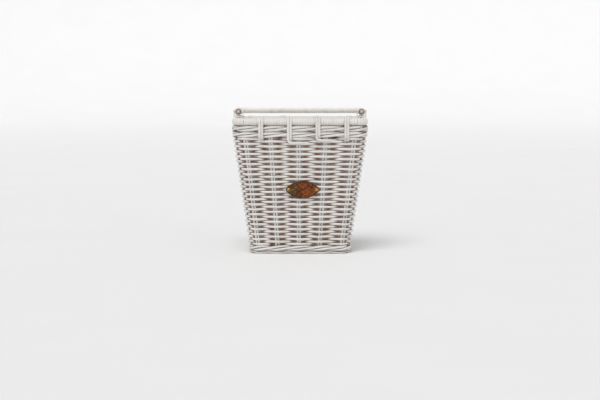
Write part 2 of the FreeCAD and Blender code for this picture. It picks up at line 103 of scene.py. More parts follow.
# Border that the basket stands on: two strands that bow up between the stakes, and a thin pair above
BORDER_OUT = 3.0 * MM
BORDER_HALF_OUT = 3.2 * MM
BORDER_HALF_HIGH = 2.0 * MM
BORDER_BOW = 1.8 * MM
LINING_OUT = 1.0 * MM
LINING_HALF_OUT = 1.6 * MM
LINING_HALF_HIGH = 1.9 * MM

# Windings: points in a turn, half a strand's width as a share of the pitch, and how slack it is
TURN_STEPS = 18
TURN_HALF_SHARE = 0.505
TURN_SLACK = 0.12 * MM
RIM_PITCH = 7.0 * MM
RIM_STRAND_T = 1.6 * MM
HANDLE_PITCH = 6.0 * MM
HANDLE_STRAND_T = 1.3 * MM
HANDLE_BEND_R = 25 * MM

# Pairs of strands looped over the rim: at the front, place, lowest height, and whether one turns right
LOOP_STRAND_W = 7.0 * MM
LOOP_STRAND_T = 4.8 * MM
LOOP_STEP = 2.2 * MM
LOOPS_FRONT = (
    (-107 * MM, 322 * MM, False),
    (-29 * MM, 309 * MM, True),
    (49 * MM, 316 * MM, True),
    (128 * MM, 319 * MM, False),
)
LOOPS_BACK = (-140 * MM, -48 * MM, 48 * MM, 140 * MM)
LOOP_BACK_T = 3.4 * MM
LOOP_BACK_SINK = 2.1 * MM

# Below the rim's middle by this much, a loop's strand has left the rim and hangs straight
LOOP_BELOW_RIM = 14 * MM

# Sockets at the handle's ends: shade is painted round the plug out to the radius below, and two ring
# grooves lie at these shares of the length behind the pivot
SOCKET_SHADE_R = 8.0 * MM
SOCKET_SIDES = 56
SOCKET_GROOVES = (0.45, 0.68)

# Floor of the basket
REED_PITCH = 7.15 * MM
REED_HALF_W = 3.4 * MM
REED_HALF_T = 1.1 * MM
REED_STEP = 1.6 * MM
REED_INSET = WALL * 0.7
BASE_STICK_PITCH = 18 * MM

# Badge: a thick pointed oval whose lattice leaves a plain patch round each rivet
BADGE_HALF_H = 24 * MM
BADGE_TIP_R = 7.5 * MM
BADGE_T = 3 * MM
BADGE_CROWN = 0.25 * MM
BADGE_SIDES = 240
BADGE_TIP_SHARE = 0.25
BADGE_FIELD_STEPS = 26
BADGE_RIVET_INSET = 7 * MM
BADGE_RIVET_PATCH_R = 8 * MM
LATTICE_W = 9.0 * MM
LATTICE_H = 6.5 * MM

# Studio: a round floor that curves up at its edge, a white sky, and wide suns, each with its name, the
# place that it shines from, its width in degrees and its strength
BOWL_FLAT_R = 8.0
BOWL_CURVE_R = 4.0
BOWL_SIDES = 96
BOWL_STEPS = 24
BOWL_BELOW = 0.5 * MM
SKY_STRENGTH = 0.45
SUNS = (
    ("key", (-0.3, -0.75, 1.35), 35, 1.45),
    ("fill", (1.2, -1.0, 0.7), 60, 0.25),
)
CAMERA_LENS = 71.614
CAMERA_PLACE = (0.0, -3.345, 0.5)
CAMERA_DOWN = 6.1


# ---- places round the wall -----------------------------------------------------------------------

def outline_at(z):
    """Half width, half depth and corner radius of the basket's outside at heights z."""
    slope = (SHOULDER - FOOT) / (SHOULDER.z - FOOT.z)
    floor = FOOT - slope * FOOT.z
    knots = (0, SHOULDER.z, RIM_LOW.z)
    half_w = np.interp(z, knots, (floor.x, SHOULDER.x, RIM.x))
    half_d = np.interp(z, knots, (floor.y, SHOULDER.y, RIM.y))
    corner = np.interp(z, knots, (CORNER_AT_FLOOR, CORNER_AT_SHOULDER, CORNER_AT_RIM))
    return half_w, half_d, corner


def wall_points(stake, z, out):
    """Points at (stake, z, out), and the wall's outward direction there. The corners are rounded between
    stakes 4 and 5, 7 and 8, 12 and 13, and 15 and 16."""
    half_w, half_d, corner = outline_at(z)
    stake = np.mod(stake, STAKES)
    knots = (0, 4, 5, 7, 8, 12, 13, 15, 16)
    share_x = np.interp(stake, (0, 1, 2, 3, 4, 8, 12, 16), (*FRONT_STAKES, 1, -1, -1))
    share_y = np.interp(stake, knots, (-1, -1, -1, 1, 1, 1, 1, -1, -1))
    turn = np.radians(np.interp(stake, knots, (-90, -90, 0, 0, 90, 90, 180, 180, 270)))
    outward = np.stack([np.cos(turn), np.sin(turn), np.zeros_like(turn)], axis=1)
    radius = corner - WALL / 2 + out
    centre = np.stack([share_x * (half_w - corner), share_y * (half_d - corner), z + 0 * turn], axis=1)
    return centre + outward * radius[:, None], outward


def wobble(count, rng, size, slowest=2, fastest=24, closed=True):
    """A smooth, random curve of values of about the given size. Where closed, its ends meet."""
    t = np.linspace(0, 1, count, endpoint=not closed)
    total = np.zeros(count)
    waves = 8
    for _ in range(waves):
        total += np.sin(2 * np.pi * (rng.integers(slowest, fastest) * t + rng.random()))
    return size * total / math.sqrt(waves / 2)


def through(knots, values, at, period):
    """A smooth periodic curve through a few knots (Catmull-Rom)."""
    k = np.array(knots, float)
    v = np.array(values, float)
    k = np.concatenate([k[-2:] - period, k, k[:3] + period])
    v = np.concatenate([v[-2:], v, v[:3]])
    slope = (v[2:] - v[:-2]) / (k[2:] - k[:-2])
    at = np.mod(at, period)
    i = np.searchsorted(k, at, side="right") - 1
    h = k[i + 1] - k[i]
    s = (at - k[i]) / h
    a = v[i] * (2 * s ** 3 - 3 * s ** 2 + 1) + v[i + 1] * (3 * s ** 2 - 2 * s ** 3)
    b = slope[i - 1] * (s ** 3 - 2 * s ** 2 + s) + slope[i] * (s ** 3 - s ** 2)
    return a + b * h


def smooth_path(points, step):
    """Points about a step apart on a smooth open curve through the given ones."""
    p = np.array(points, float)
    p = np.concatenate([[2 * p[0] - p[1]], p, [2 * p[-1] - p[-2]]])
    made = []
    for i in range(1, len(p) - 2):
        count = max(2, int(np.linalg.norm(p[i + 1] - p[i]) / step))
        for t in np.arange(count) / count:
            made.append(0.5 * (
                2 * p[i] + (p[i + 1] - p[i - 1]) * t
                + (2 * p[i - 1] - 5 * p[i] + 4 * p[i + 1] - p[i + 2]) * t ** 2
                + (3 * p[i] - p[i - 1] - 3 * p[i + 1] + p[i + 2]) * t ** 3
            ))
    made.append(p[-2])
    return np.array(made)


def unit(v):
    return v / np.linalg.norm(v, axis=-1, keepdims=True)


# ---- meshes ----------------------------------------------------------------------------------------

def smooth_mesh(name, points, faces):
    mesh = bpy.data.meshes.new(name)
    mesh.from_pydata(points, [], faces)
    mesh.polygons.foreach_set("use_smooth", np.ones(len(mesh.polygons), bool))
    return mesh


def give_values(mesh, name, values):
    """Gives every point of a mesh its number or its vector, which a material reads by this name."""
    values = np.asarray(values, np.float32)
    kind, field = ("FLOAT", "value") if values.ndim == 1 else ("FLOAT_VECTOR", "vector")
    mesh.attributes.new(name, kind, "POINT").data.foreach_set(field, values.ravel())


def ring_faces(rings, sides):
    """The faces between rings of points, each ring with its points in the same order."""
    faces = []
    for first in range(0, (rings - 1) * sides, sides):
        for k in range(sides):
            after = (k + 1) % sides
            faces.append((first + k, first + after, first + sides + after, first + sides + k))
    return faces


class Strands:
    """Gathers swept strands into one mesh, with what the wicker material reads:
    grain, the place along and across the strand; tone, one random number for each strand;
    depth, how far out of the wall's middle a point lies; seam, 1 where neighbours touch."""

    def __init__(self, seed):
        self.rng = np.random.default_rng(seed)
        self.points = []
        self.faces = []
        self.values = {"grain": [], "tone": [], "depth": [], "seam": []}
        self.total = 0

    def add(self, path, outward, half_out, half_across, out=None, closed=True, power=2.0, tone=None):
        """Sweeps a section along path. It is an ellipse, or squarer where power is above 2. out is how far
        the path lies out of the wall's middle; without it the strand counts as far out."""
        n = len(path)
        sides = SIDES
        half_out = np.broadcast_to(half_out, n)[:, None]
        half_across = np.broadcast_to(half_across, n)[:, None]
        ahead = np.roll(path, -1, axis=0) - np.roll(path, 1, axis=0)
        if not closed:
            ahead[0] = path[1] - path[0]
            ahead[-1] = path[-1] - path[-2]
        ahead = unit(ahead)
        across = unit(np.cross(ahead, outward))
        outward = np.cross(across, ahead)
        angle = 2 * np.pi * np.arange(sides) / sides
        c = np.sign(np.cos(angle)) * np.abs(np.cos(angle)) ** (2 / power)
        s = np.sign(np.sin(angle)) * np.abs(np.sin(angle)) ** (2 / power)
        ring = path[:, None] + outward[:, None] * (half_out * c)[:, :, None]
        ring = ring + across[:, None] * (half_across * s)[:, :, None]
        self.points.append(ring.reshape(-1, 3))

        length = np.concatenate([[0], np.cumsum(np.linalg.norm(np.diff(path, axis=0), axis=1))])
        if closed:
            length = np.minimum(length, length[-1] - length)
        along = length + self.rng.random() * 50
        grain = np.stack([np.repeat(along, sides), (half_out * c).ravel(), (half_across * s).ravel()], 1)
        self.values["grain"].append(grain)
        random_tone = self.rng.uniform(-1, 1)
        self.values["tone"].append(np.full(n * sides, random_tone if tone is None else tone))
        far_out = 1.0
        depth = np.full((n, sides), far_out) if out is None else np.asarray(out)[:, None] + half_out * c
        self.values["depth"].append(np.broadcast_to(depth, (n, sides)).ravel())
        self.values["seam"].append(np.tile(np.abs(s), n))

        first = self.total
        rows = n if closed else n - 1
        i = np.arange(rows)[:, None]
        j = np.arange(sides)[None, :]
        here = first + i * sides
        there = first + ((i + 1) % n) * sides
        after = (j + 1) % sides
        quads = np.stack([here + j, here + after, there + after, there + j], axis=2).reshape(-1, 4)
        self.faces += quads.tolist()
        if not closed:
            self.faces.append([first + k for k in reversed(range(sides))])
            self.faces.append([first + (n - 1) * sides + k for k in range(sides)])
        self.total += n * sides

    def make(self, name, material, slot, *nodes, body="basket"):
        mesh = smooth_mesh(name, np.concatenate(self.points), self.faces)
        for key, parts in self.values.items():
            give_values(mesh, key, np.concatenate(parts))
        place(name, mesh, material, nodes, body)


def place(name, mesh, material, nodes, body):
    """Adds a finished mesh as a piece that rides on a body and stands for some CAD nodes."""
    mesh.materials.append(material)
    piece = bpy.data.objects.new(name, mesh)
    bpy.context.scene.collection.objects.link(piece)
    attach(piece, body)
    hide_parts(*nodes)


# ---- materials -------------------------------------------------------------------------------------

class Shader:
    """A material whose nodes are added one call at a time."""

    def __init__(self, name, roughness, metallic=0.0, specular=0.5):
        self.material = bpy.data.materials.new(name)
        self.material.use_nodes = True
        self.tree = self.material.node_tree
        self.surface = next(n for n in self.tree.nodes if n.type == "BSDF_PRINCIPLED")
        self.surface.inputs["Roughness"].default_value = roughness
        self.surface.inputs["Metallic"].default_value = metallic
        self.surface.inputs["Specular IOR Level"].default_value = specular

    def feed(self, socket, value):
        if isinstance(value, bpy.types.NodeSocket):
            self.tree.links.new(value, socket)
        else:
            socket.default_value = value

    def add(self, kind, inputs=None, **settings):
        node = self.tree.nodes.new("ShaderNode" + kind)
        for key, value in settings.items():
            setattr(node, key, value)
        for socket, value in (inputs or {}).items():
            self.feed(node.inputs[socket], value)
        return node

    def attribute(self, name, output="Fac"):
        return self.add("Attribute", attribute_name=name).outputs[output]

    def stretched(self, vector, scale):
        return self.add("VectorMath", {0: vector, 1: scale}, operation="MULTIPLY").outputs[0]

    def noise(self, vector, scale=1.0, detail=3.0, roughness=0.55):
        inputs = {"Vector": vector, "Scale": scale, "Detail": detail, "Roughness": roughness}
        return self.add("TexNoise", inputs).outputs["Fac"]

    def math(self, operation, a, b=0.0, clamp=False):
        return self.add("Math", {0: a, 1: b}, operation=operation, use_clamp=clamp).outputs[0]

    def between(self, value, low, high, to_low=0.0, to_high=1.0):
        inputs = {"Value": value, "From Min": low, "From Max": high, "To Min": to_low, "To Max": to_high}
        return self.add("MapRange", inputs, interpolation_type="SMOOTHSTEP").outputs[0]

    def mixed(self, factor, a, b):
        node = self.add("Mix", data_type="RGBA")
        self.feed(node.inputs[0], factor)
        self.feed(node.inputs[6], a)
        self.feed(node.inputs[7], b)
        return node.outputs[2]

    def bump(self, height, distance, strength=1.0, after=None):
        node = self.add("Bump", {"Height": height})
        node.inputs["Distance"].default_value = distance
        node.inputs["Strength"].default_value = strength
        if after is not None:
            self.feed(node.inputs["Normal"], after)
        return node.outputs["Normal"]

    def finish(self, colour, roughness=None, normal=None):
        self.feed(self.surface.inputs["Base Color"], colour)
        if roughness is not None:
            self.feed(self.surface.inputs["Roughness"], roughness)
        if normal is not None:
            self.feed(self.surface.inputs["Normal"], normal)
        return self.material


def srgb(r, g, b):
    """A linear colour, with alpha, from the usual 0 to 255 numbers."""
    linear = [((c / 255 + 0.055) / 1.055) ** 2.4 for c in (r, g, b)]
    return (*linear, 1.0)


PAINT = srgb(234, 231, 227)
PAINT_DULL = srgb(212, 207, 202)
# A lit copy of PAINT: painted light that brightens the stakes in the weave's gaps and the handle's winding
PAINT_LIT = srgb(249, 246, 242)
# Brown of unpainted rattan, in random patches on the straight rods; in the wicker it also stands for painted
# shade in the hollows of the weave
BARE_AND_SHADE = srgb(150, 106, 80)
# Darker brown where strands touch: partly unpainted rattan, partly painted shade between strands
SEAM_BARE_AND_SHADE = srgb(92, 58, 40)
WHITE = srgb(238, 236, 232)
WHITE_WORN = srgb(200, 195, 189)
# Painted shade round the handle's plugs, in the sockets' groove and on their lip
SOCKET_SHADE = srgb(166, 146, 140)
# Turns off the brown of unpainted rattan and painted shade near the wall's middle
NO_BARE_SHADE = 0.01 * MM


def wicker(name, bare_shade_depth, seam_from, seam_share, paint=PAINT):
    """White paint on rattan: streaks along the grain and dull mottling. Within the given depth of the wall's
    middle, and where strands touch, from seam_from to the very side, it turns brown: partly unpainted rattan,
    partly painted shade in the hollows and between strands."""
    shader = Shader(name, 0.46, specular=0.42)
    grain = shader.attribute("grain", "Vector")
    tone = shader.attribute("tone")
    place_in = shader.add("TexCoord").outputs["Object"]
    fibres = shader.noise(shader.stretched(grain, (45, 900, 900)), 1.0, 4.0, 0.6)
    pores = shader.noise(shader.stretched(grain, (160, 2600, 2600)), 1.0, 2.0)
    mottle = shader.noise(place_in, 55.0, 3.0)
    blotch = shader.noise(place_in, 14.0, 2.0)
    dullness = shader.math("MULTIPLY", tone, 0.22)
    dullness = shader.math("ADD", dullness, shader.between(fibres, 0.35, 0.75, -0.15, 0.5))
    dullness = shader.math("ADD", dullness, shader.between(mottle, 0.4, 0.7, 0.0, 0.35))
    dullness = shader.math("ADD", dullness, shader.between(blotch, 0.35, 0.65, -0.1, 0.2), clamp=True)
    colour = shader.mixed(dullness, paint, PAINT_DULL)

    # Painted shade, partly unpainted rattan: brown near the wall's middle, where the weave is deep
    bare_and_shade_noise = shader.between(mottle, 0.3, 0.7, 0.7, 1.0)
    depth = shader.math("ABSOLUTE", shader.attribute("depth"))
    hollow_shade = shader.between(depth, 0.1 * bare_shade_depth, bare_shade_depth, 1.0, 0.0)
    hollow_shade = shader.math("MULTIPLY", hollow_shade, bare_and_shade_noise)
    colour = shader.mixed(hollow_shade, colour, BARE_AND_SHADE)
    # Painted shade, partly unpainted rattan, where strands touch
    seam = shader.between(shader.attribute("seam"), seam_from, 1.0, 0.0, seam_share)
    seam = shader.math("MULTIPLY", seam, bare_and_shade_noise)
    colour = shader.mixed(seam, colour, SEAM_BARE_AND_SHADE)
    normal = shader.bump(fibres, 0.35 * MM, 0.6)
    normal = shader.bump(pores, 0.12 * MM, 0.5, after=normal)
    rough = shader.between(fibres, 0.3, 0.8, 0.38, 0.6)
    return shader.finish(colour, rough, normal)


def straight_rods(name, stretch):
    """The same paint on the CAD's straight rods, whose grain runs along the axis with the small stretch."""
    shader = Shader(name, 0.5, specular=0.4)
    place_in = shader.add("TexCoord").outputs["Object"]
    fibres = shader.noise(shader.stretched(place_in, stretch), 1.0, 4.0, 0.6)
    mottle = shader.noise(place_in, 90.0, 3.0)
    streaks = shader.between(fibres, 0.35, 0.75, 0.0, 0.6)
    clouds = shader.between(mottle, 0.4, 0.7, 0.0, 0.4)
    dullness = shader.math("ADD", streaks, clouds, clamp=True)
    colour = shader.mixed(dullness, PAINT, PAINT_DULL)
    # Random patches of unpainted rattan
    colour = shader.mixed(shader.between(mottle, 0.55, 0.75, 0.0, 0.4), colour, BARE_AND_SHADE)
    normal = shader.bump(fibres, 0.3 * MM, 0.6)
    return shader.finish(colour, shader.between(fibres, 0.3, 0.8, 0.42, 0.62), normal)


def coated(name, main, worn, roughness, peel, ring_shade=None):
    """Powder coat: fine orange peel, faint cloudiness and small scuffs down to another colour. Where the
    mesh asks for it, painted shade in the last colour given is laid over it."""
    shader = Shader(name, roughness, specular=0.45)
    place_in = shader.add("TexCoord").outputs["Object"]
    fine = shader.noise(place_in, 1400.0, 2.0)
    cloud = shader.noise(place_in, 60.0, 3.0)
    scuffs = shader.noise(shader.stretched(place_in, (220, 900, 380)), 1.0, 5.0, 0.7)
    scuffed = shader.between(scuffs, 0.66, 0.74, 0.0, 0.8)
    colour = shader.mixed(shader.between(cloud, 0.3, 0.7, 0.0, 0.35), main, worn)
    colour = shader.mixed(scuffed, colour, worn)
    if ring_shade is not None:
        # Painted shade, where the mesh asks for it
        share = shader.math("MULTIPLY", shader.attribute("ring_shade"), shader.between(cloud, 0.3, 0.7, 0.8, 1.0))
        colour = shader.mixed(share, colour, ring_shade)
    rough = shader.between(cloud, 0.3, 0.7, roughness - 0.06, roughness + 0.1)
    return shader.finish(colour, rough, shader.bump(fine, peel))


def metal(name, bright, dark, roughness, stretch):
    """Plated or brushed metal with fine scratches along one direction and duller patches."""
    shader = Shader(name, roughness, metallic=1.0)
    place_in = shader.add("TexCoord").outputs["Object"]
    scratches = shader.noise(shader.stretched(place_in, stretch), 1.0, 4.0, 0.7)
    patches = shader.noise(place_in, 180.0, 4.0, 0.6)
    colour = shader.mixed(shader.between(patches, 0.35, 0.7, 0.0, 0.8), bright, dark)
    rough = shader.math("ADD", shader.between(scratches, 0.3, 0.7, -0.08, 0.1), roughness)
    rough = shader.math("ADD", rough, shader.between(patches, 0.3, 0.7, 0.0, 0.15))
    return shader.finish(colour, rough, shader.bump(scratches, 0.05 * MM, 0.6))


def vinyl(name, main, faded):
    """Soft matt plastic with a fine grain and faded clouds."""
    shader = Shader(name, 0.55, specular=0.4)
    place_in = shader.add("TexCoord").outputs["Object"]
    grain = shader.noise(place_in, 900.0, 3.0)
    cloud = shader.noise(place_in, 80.0, 3.0)
    colour = shader.mixed(shader.between(cloud, 0.3, 0.7), main, faded)
    rough = shader.between(cloud, 0.3, 0.7, 0.48, 0.66)
    return shader.finish(colour, rough, shader.bump(grain, 0.08 * MM, 0.7))


def leather(name, half_w):
    """Tooled leather: pressed diamond lattice, pores and creases, duller to the left and dark at the edge.
    It reads the place on the badge, half_w wide each way, and where the edge and the lattice's field are."""
    shader = Shader(name, 0.48, specular=0.2)
    place_in = shader.attribute("badge", "Vector")
    split = shader.add("SeparateXYZ", {0: place_in}).outputs
    pores = shader.add("TexVoronoi", {"Vector": place_in, "Scale": 1100.0}, feature="DISTANCE_TO_EDGE")
    creases = shader.noise(place_in, 420.0, 6.0, 0.65)
    patches = shader.noise(place_in, 95.0, 4.0, 0.6)

    lines = []
    for sign in (1, -1):
        along_x = shader.math("MULTIPLY", split[0], 1 / LATTICE_W)
        along_z = shader.math("MULTIPLY", split[1], sign / LATTICE_H)
        across = shader.math("ADD", along_x, along_z)
        wave = shader.math("ABSOLUTE", shader.math("SINE", shader.math("MULTIPLY", across, math.pi / 2)))
        lines.append(shader.between(wave, 0.0, 0.42, 1.0, 0.0))
    lattice = shader.math("MAXIMUM", lines[0], lines[1])
    field = shader.attribute("field")
    lattice = shader.math("MULTIPLY", lattice, field)

    side = shader.between(split[0], -0.62 * half_w, 0.05 * half_w)
    blotches = shader.between(patches, 0.35, 0.65)
    plain = shader.mixed(blotches, srgb(84, 58, 26), srgb(112, 82, 42))
    warm = shader.mixed(blotches, srgb(84, 42, 16), srgb(150, 80, 34))
    colour = shader.mixed(side, plain, warm)
    dark = srgb(34, 17, 8)
    colour = shader.mixed(shader.math("MULTIPLY", lattice, 0.8), colour, dark)
    colour = shader.mixed(shader.between(creases, 0.52, 0.72, 0.0, 0.55), colour, dark)
    colour = shader.mixed(shader.attribute("edge"), colour, dark)
    rough = shader.between(creases, 0.3, 0.7, 0.4, 0.62)
    normal = shader.bump(lattice, -0.5 * MM, 0.9)
    normal = shader.bump(pores.outputs["Distance"], 0.12 * MM, 0.6, after=normal)
    normal = shader.bump(creases, 0.25 * MM, 0.5, after=normal)
    return shader.finish(colour, rough, normal)


def end_grain(name):
    """Sawn end of unpainted rattan: open vessels in pale and pink patches."""
    shader = Shader(name, 0.7, specular=0.25)
    place_in = shader.add("TexCoord").outputs["Object"]
    vessels = shader.add("TexVoronoi", {"Vector": place_in, "Scale": 1500.0}).outputs["Distance"]
    patches = shader.noise(place_in, 260.0, 4.0)
    colour = shader.mixed(patches, srgb(236, 224, 216), srgb(196, 164, 156))
    colour = shader.mixed(shader.between(vessels, 0.12, 0.3, 0.6, 0.0), colour, srgb(120, 90, 78))
    return shader.finish(colour, 0.72, shader.bump(vessels, 0.2 * MM))


# ---- woven bands -----------------------------------------------------------------------------------

def stake_samples(rounds=1):
    """Stake values evenly round the basket, once or several times over."""
    return np.arange(STAKES * rounds * STEPS_PER_STAKE) / STEPS_PER_STAKE


def weave_row(strands, z, phase):
    """One ring of plain weave: in front of every other stake pair, behind the rest."""
    stake = stake_samples()
    n = len(stake)
    rng = strands.rng
    swing = np.arcsin(ROW_ARCH * np.cos(np.pi * (stake - phase))) / math.asin(ROW_ARCH)
    out = ROW_SWING * (1 + wobble(n, rng, 0.03)) * swing
    height = z + wobble(n, rng, ROW_WANDER)
    path, outward = wall_points(stake, height, out)
    thick = 1 + wobble(n, rng, 0.03) + rng.normal(0, 0.02)
    strands.add(path, outward, ROW_HALF_OUT * thick, ROW_HALF_HIGH * thick, out=out)


def make_weave(material):
    """The plain weave's rows, in two pieces."""
    pitch = (WEAVE_TOP - FOOT_TOP) / WEAVE_ROWS
    middle = WEAVE_ROWS // 2
    parts = (("weave_lower", 0, middle, 11), ("weave_upper", middle, WEAVE_ROWS, 12))
    for name, first, after_last, seed in parts:
        strands = Strands(seed)
        for k in range(first, after_last):
            weave_row(strands, FOOT_TOP + (k + 0.5) * pitch, k % 2)
        strands.make(name, material, "wicker", "wall_weave")


def wale_row(strands, low, high, phase):
    """A row of wale between two heights, rising to the right as seen from outside. Where the strands'
    cycle doesn't divide the stakes evenly, they join end to end and go round several times."""
    rng = strands.rng
    fronts = WALE_FRONTS
    cycle = fronts + 1
    separate = math.gcd(STAKES, cycle)
    stake = stake_samples(rounds=cycle // separate)
    n = len(stake)
    knots = (0, 0.5, 1, cycle / 2, cycle - 1, cycle - 0.5)
    pitch = (high - low) / fronts
    for k in range(separate):
        beat = stake - phase - k
        swing = through(knots, (-1, 0, 0.97, 1.05, 0.97, 0), beat, cycle)
        rise = through(knots, (0, -1.02, -1, 0, 1, 1.02), beat, cycle) * (fronts - 1) / 2
        out = WALE_SWING * swing * (1 + wobble(n, rng, 0.02, 4, 60))
        height = (low + high) / 2 + pitch * rise + wobble(n, rng, WALE_WANDER, 4, 60)
        path, outward = wall_points(stake, height, out)
        thick = 1 + wobble(n, rng, 0.03, 4, 60)
        strands.add(path, outward, WALE_HALF_OUT * thick, WALE_HALF_SHARE * pitch * thick, out=out)


def make_wales(top_paint, foot_paint):
    """The top wale's rows, each a stake further round, and the foot wale's one row."""
    top = Strands(21)
    row = (RIM_LOW.z - WEAVE_TOP) / WALE_ROWS
    for k in range(WALE_ROWS):
        low = WEAVE_TOP + k * row
        wale_row(top, low, low + row, k)
    top.make("wale_top", top_paint, "wicker", "top_wale")
    foot = Strands(22)
    wale_row(foot, FOOT.z - FOOT_WALE_DROP, FOOT_TOP, 1)
    foot.make("wale_foot", foot_paint, "wicker", "foot_wale")


def make_border(material):
    """The bowed strands that the basket stands on, outside and inside, with the thin pair on top."""
    border = Strands(23)
    stake = stake_samples()
    n = len(stake)
    for side, start in ((1, 0.0), (-1, 0.5)):
        rise = (1 - np.cos(2 * np.pi * (stake + start))) / 2
        low = BORDER_HALF_HIGH + BORDER_BOW * rise * (1 - np.abs(wobble(n, border.rng, 0.15, 2, 12)))
        high = np.full(n, FOOT.z - LINING_HALF_HIGH)
        for height, place_out, half_out, half_high in (
            (low, BORDER_OUT, BORDER_HALF_OUT, BORDER_HALF_HIGH),
            (high, LINING_OUT, LINING_HALF_OUT, LINING_HALF_HIGH),
        ):
            out = side * place_out * np.ones(n)
            path, outward = wall_points(stake, height, out)
            thick = 1 - np.abs(wobble(n, border.rng, 0.02))
            border.add(path, outward, half_out * thick, half_high * thick, out=out)
    border.make("border_foot", material, "wicker", "foot_border")


def make_stakes(material):
    """Pairs of round rods that stand up the middle of the wall, from the border to the rim."""
    low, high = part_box("stakes_front")
    z = np.linspace(low.z, high.z, STAKE_STEPS)
    for seed, (name, places) in enumerate(WALL_STAKES.items(), start=51):
        rods = Strands(seed)
        for stake in places:
            for side in (-1, 1):
                out = STAKE_OUT + wobble(len(z), rods.rng, 0.25 * MM, 1, 9, False)
                path, outward = wall_points(np.full(len(z), float(stake)), z, out)
                along_wall = unit(np.cross(outward, (0.0, 0.0, 1.0)))
                bend = STAKE_ASIDE + wobble(len(z), rods.rng, 0.3 * MM, 1, 9, False)
                thick = STAKE_R * (1 + wobble(len(z), rods.rng, 0.03, 1, 9, False))
                rods.add(path + side * along_wall * bend[:, None], outward, thick, thick, closed=False)
        rods.make("uprights_" + name, material, "wicker", "stakes_" + name)


def make_reeds(material):
    """Flat reeds over and under the base sticks, each ending inside the border."""
    reeds = Strands(24)
    low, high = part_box("base_weave")
    middle = (low.z + high.z) / 2
    swing = middle - REED_HALF_T
    half_w, half_d, corner = (float(v) for v in outline_at(middle))
    count = int((half_w - REED_INSET) / REED_PITCH)
    for k in range(-count, count + 1):
        x = k * REED_PITCH
        past = abs(x) - (half_w - corner)
        reach = half_d - REED_INSET
        if past > 0:
            reach = half_d - corner + math.sqrt(max(0.0, (corner - REED_INSET) ** 2 - past ** 2))
        n = 2 * int(reach / REED_STEP) + 1
        y = np.linspace(-reach, reach, n)
        side = 1 if k % 2 else -1
        wave = np.cos(np.pi * y / BASE_STICK_PITCH)
        z = middle + side * swing * 0.97 * np.sign(wave) * np.abs(wave) ** 0.8
        z = z + wobble(n, reeds.rng, 0.05 * MM, 1, 6)
        path = np.stack([np.full(n, x) + wobble(n, reeds.rng, 0.25 * MM, 1, 5), y, z], axis=1)
        up = np.tile((0.0, 0.0, 1.0), (n, 1))
        width = REED_HALF_W * (1 + wobble(n, reeds.rng, 0.02, 1, 6))
        reeds.add(path, up, REED_HALF_T, width, closed=False, power=3.2)
    reeds.make("floor_reeds", material, "wicker", "base_weave")


# ---- windings and loops ----------------------------------------------------------------------------

def winding(strands, line, sideways, radius, pitch, thickness, closed, power):
    """A strand wound round a level line; sideways points away from the line's inside."""
    steps = TURN_STEPS
    if closed:
        line = np.concatenate([line, line[:1]])
        sideways = np.concatenate([sideways, sideways[:1]])
    length = np.concatenate([[0], np.cumsum(np.linalg.norm(np.diff(line, axis=0), axis=1))])
    turns = round(length[-1] / pitch)
    turn = np.arange(turns * steps + (0 if closed else 1)) / steps
    at = turn / turns * length[-1]
    centre = np.stack([np.interp(at, length, line[:, k]) for k in range(3)], axis=1)
    side = unit(np.stack([np.interp(at, length, sideways[:, k]) for k in range(3)], axis=1))
    angle = 2 * np.pi * turn
    radial = side * np.cos(angle)[:, None] + np.array([0, 0, 1.0]) * np.sin(angle)[:, None]
    slack = np.abs(wobble(len(turn), strands.rng, TURN_SLACK, 5, 90, closed))
    path = centre + radial * (radius - thickness - slack)[:, None]
    if closed:
        gap = np.linalg.norm(np.roll(path, -steps, axis=0) - path, axis=1)
        gap = (gap + np.roll(gap, steps)) / 2
    else:
        gap = np.linalg.norm(path[steps:] - path[:-steps], axis=1)
        ahead = np.concatenate([gap, np.full(steps, gap[-1])])
        behind = np.concatenate([np.full(steps, gap[0]), gap])
        gap = (ahead + behind) / 2
    strands.add(path, radial, thickness, gap * TURN_HALF_SHARE, closed=closed, power=power, tone=-1.0)


def make_rim(material):
    """The rim's winding, flush with the outside of the wall below it."""
    strands = Strands(31)
    stake = stake_samples()
    inward = np.full(len(stake), WALL / 2 - RIM_R)
    line, outward = wall_points(stake, np.full(len(stake), RIM_Z), inward)
    winding(strands, line, outward, RIM_R, RIM_PITCH, RIM_STRAND_T, True, 4.0)
    strands.make("rim_winding", material, "wicker", "rim_wrap")


def make_handle(material):
    """The U of the handle, from one socket round to the other."""
    low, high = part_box("handle_wrap")
    radius = (high.z - low.z) / 2
    arm_x = high.x - radius
    reach = high.y - radius
    z = (low.z + high.z) / 2
    bend = HANDLE_BEND_R
    leg_steps, bend_steps = 40, 24
    points, sideways = [], []

    def leg(start, end, side):
        for t in np.linspace(0, 1, leg_steps, endpoint=False):
            points.append((*(np.array(start) * (1 - t) + np.array(end) * t), z))
            sideways.append((*side, 0.0))

    def corner(sign, first, last):
        for t in np.linspace(0, 1, bend_steps, endpoint=False):
            a = math.radians(first + (last - first) * t)
            points.append((sign * (arm_x - bend) + bend * math.cos(a), reach - bend + bend * math.sin(a), z))
            sideways.append((math.cos(a), math.sin(a), 0.0))

    leg((arm_x, low.y), (arm_x, reach - bend), (1, 0))
    corner(1, 0, 90)
    leg((arm_x - bend, reach), (bend - arm_x, reach), (0, 1))
    corner(-1, 90, 180)
    leg((-arm_x, reach - bend), (-arm_x, low.y), (-1, 0))
    points.append((-arm_x, low.y, z))
    sideways.append((-1.0, 0.0, 0.0))
    strands = Strands(32)
    winding(strands, np.array(points), np.array(sideways), radius, HANDLE_PITCH, HANDLE_STRAND_T, False, 4.5)
    strands.make("handle_winding", material, "wicker", "handle_wrap", body="handle")


